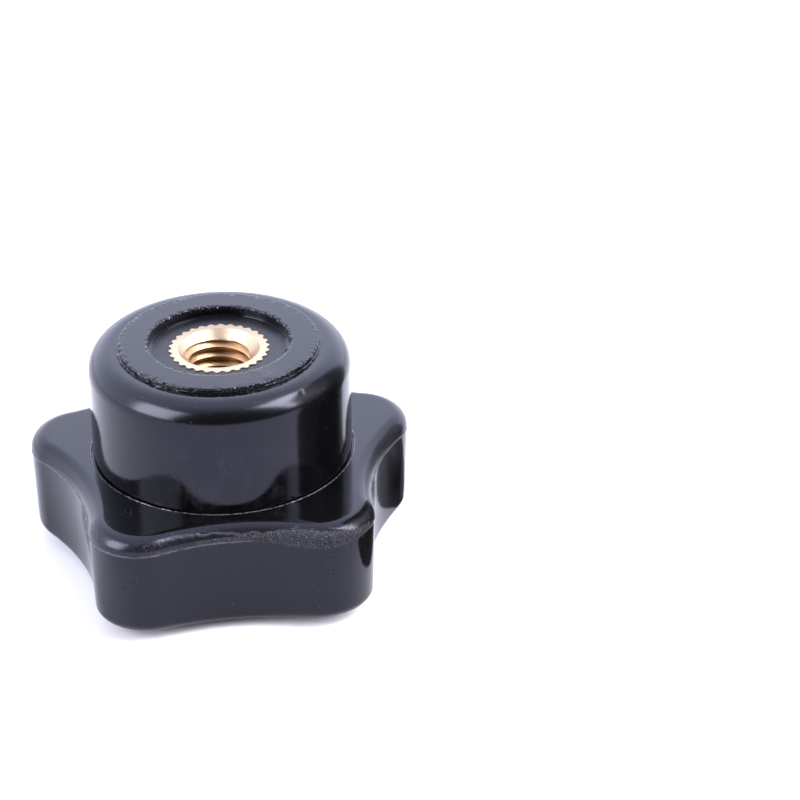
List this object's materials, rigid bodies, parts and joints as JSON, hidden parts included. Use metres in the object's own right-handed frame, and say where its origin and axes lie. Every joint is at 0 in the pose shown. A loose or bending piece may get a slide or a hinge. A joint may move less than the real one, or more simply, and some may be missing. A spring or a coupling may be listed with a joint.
{
  "type": "star knob",
  "caption": "Lobed star knob with a round hub, a raised seating ring, a deep bore in its crowned face and a threaded brass bush right through.",
  "frame": {"origin": "centre of the land round the bore's mouth, at the bottom: the knob stands on its crowned star face", "axes": "+Z along the thread's axis, from the star face up to the seating ring on the hub; +Y towards the first lobe"},
  "size_m": [0.0544, 0.0524, 0.0336],
  "materials": {
    "phenolic": "moulded gloss, lightly scuffed",
    "brass": "turned and knurled, bright"
  },
  "bodies": {
    "root": {"knob_body": "phenolic", "threaded_insert": "brass"}
  },
  "joints": []
}
